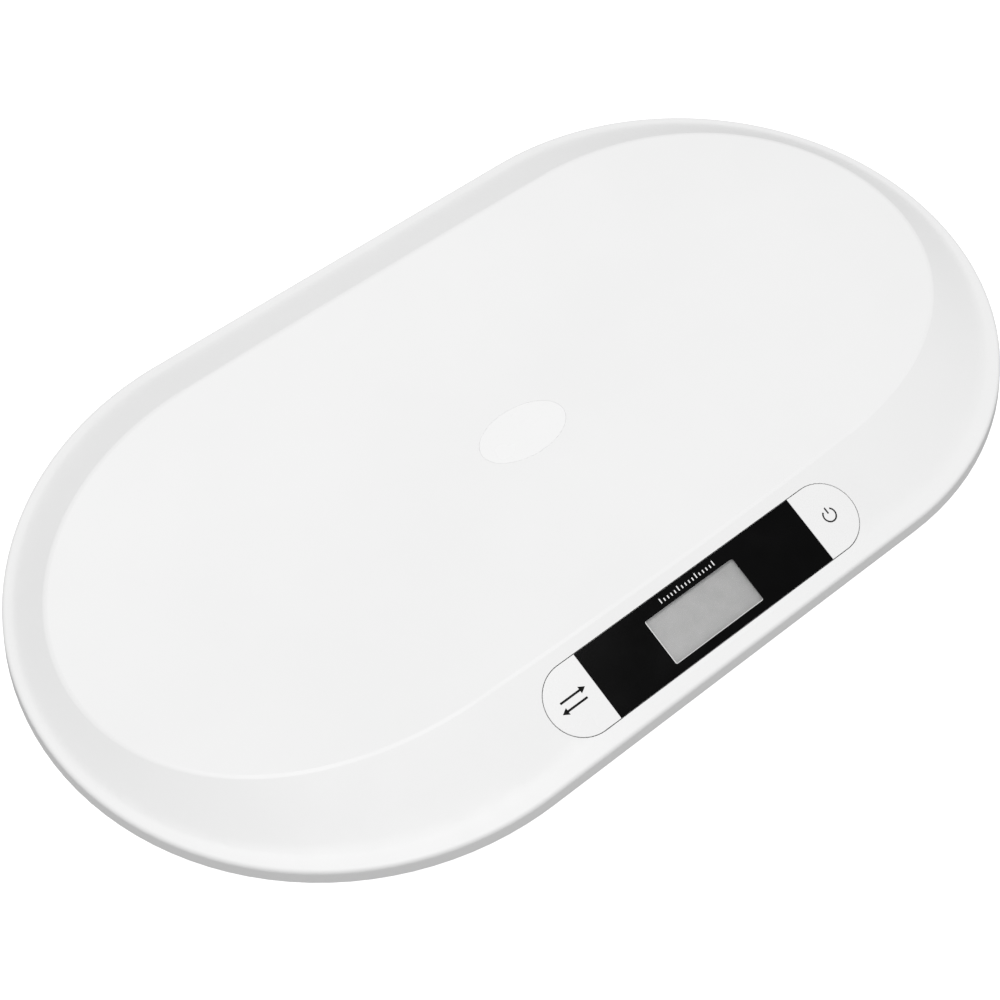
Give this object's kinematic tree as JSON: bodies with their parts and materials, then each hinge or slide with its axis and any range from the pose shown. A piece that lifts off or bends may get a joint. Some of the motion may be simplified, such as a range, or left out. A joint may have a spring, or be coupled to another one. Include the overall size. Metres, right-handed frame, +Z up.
{
  "type": "digital baby weighing scale",
  "caption": "Flat digital baby scale: shallow dished tray with a sloping border, tilted display console between two press keys, load-cell feet and a battery bay.",
  "frame": {"origin": "on the floor under the middle of the tray's outline", "axes": "+X along the tray to the right of a person facing the display, +Y away from that person, +Z up"},
  "size_m": [0.55, 0.32, 0.0314],
  "materials": {
    "white_shell": "satin white ABS",
    "badge": "smooth white inlay",
    "black_print": "gloss black print behind clear plastic",
    "clear_window": "clear plastic window",
    "lcd": "grey liquid crystal glass",
    "white_inner": "matt white ABS",
    "rubber_strip": "layered contact rubber",
    "board_green": "green solder mask",
    "chip_black": "black resin",
    "screw_steel": "zinc plated steel",
    "base_white": "fine spark-textured white ABS",
    "contact_nickel": "nickel plated spring steel",
    "lead_red": "PVC insulation",
    "lead_white": "PVC insulation",
    "key_white": "gloss white ABS",
    "switch_body": "black switch body",
    "battery_wrap": "plain dark wrap",
    "foot_grey": "white ABS",
    "pad_rubber": "pale non-slip rubber",
    "cell_steel": "stamped alloy steel",
    "gauge_resin": "white sealing resin"
  },
  "bodies": {
    "scale": {"tray_top": "white_shell", "centre_badge": "badge", "display_bezel": "black_print", "display_window": "clear_window", "lcd_glass": "lcd", "display_frame": "white_inner", "contact_strips": "rubber_strip", "main_board": "board_green", "board_parts": "chip_black", "lead_socket": "white_inner", "board_screws": "screw_steel", "base_cover": "base_white", "base_screws": "screw_steel", "clamp_screws": "screw_steel", "battery_plates": "contact_nickel", "battery_springs": "contact_nickel", "battery_lead": "lead_red", "unit_switch": "switch_body", "power_switch": "switch_body", "battery_1": "battery_wrap", "battery_2": "battery_wrap", "battery_3": "battery_wrap", "battery_4": "battery_wrap", "load_cell_front_left": "cell_steel", "strain_gauge_front_left": "gauge_resin", "cell_holder_front_left": "white_inner", "cell_clamp_front_left": "white_inner", "cell_lead_front_left": "lead_white", "load_cell_front_right": "cell_steel", "strain_gauge_front_right": "gauge_resin", "cell_holder_front_right": "white_inner", "cell_clamp_front_right": "white_inner", "cell_lead_front_right": "lead_white", "load_cell_back_left": "cell_steel", "strain_gauge_back_left": "gauge_resin", "cell_holder_back_left": "white_inner", "cell_clamp_back_left": "white_inner", "cell_lead_back_left": "lead_white", "load_cell_back_right": "cell_steel", "strain_gauge_back_right": "gauge_resin", "cell_holder_back_right": "white_inner", "cell_clamp_back_right": "white_inner", "cell_lead_back_right": "lead_white"},
    "unit_key": {"unit_key": "key_white", "unit_plunger": "chip_black"},
    "power_key": {"power_key": "key_white", "power_plunger": "chip_black"},
    "battery_door": {"battery_door": "base_white"},
    "foot_front_left": {"foot_front_left": "foot_grey", "foot_pad_front_left": "pad_rubber"},
    "foot_front_right": {"foot_front_right": "foot_grey", "foot_pad_front_right": "pad_rubber"},
    "foot_back_left": {"foot_back_left": "foot_grey", "foot_pad_back_left": "pad_rubber"},
    "foot_back_right": {"foot_back_right": "foot_grey", "foot_pad_back_right": "pad_rubber"}
  },
  "joints": [
    {"name": "unit_key_press", "type": "slide", "parent": "scale", "child": "unit_key", "axis": [0, 0.342, -0.9397], "range_m": [0, 0.0005], "stiffness_N_per_m": 1500},
    {"name": "power_key_press", "type": "slide", "parent": "scale", "child": "power_key", "axis": [0, 0.342, -0.9397], "range_m": [0, 0.0005], "stiffness_N_per_m": 1500},
    {"name": "battery_door_hinge", "type": "hinge", "parent": "scale", "child": "battery_door", "pos_m": [0, 0.05, 0.0059], "axis": [-1, 0, 0], "range_deg": [0, 90]},
    {"name": "foot_front_left_travel", "type": "slide", "parent": "scale", "child": "foot_front_left", "axis": [0, 0, 1], "range_m": [0, 0.0004], "stiffness_N_per_m": 500},
    {"name": "foot_front_right_travel", "type": "slide", "parent": "scale", "child": "foot_front_right", "axis": [0, 0, 1], "range_m": [0, 0.0004], "stiffness_N_per_m": 500},
    {"name": "foot_back_left_travel", "type": "slide", "parent": "scale", "child": "foot_back_left", "axis": [0, 0, 1], "range_m": [0, 0.0004], "stiffness_N_per_m": 500},
    {"name": "foot_back_right_travel", "type": "slide", "parent": "scale", "child": "foot_back_right", "axis": [0, 0, 1], "range_m": [0, 0.0004], "stiffness_N_per_m": 500}
  ]
}
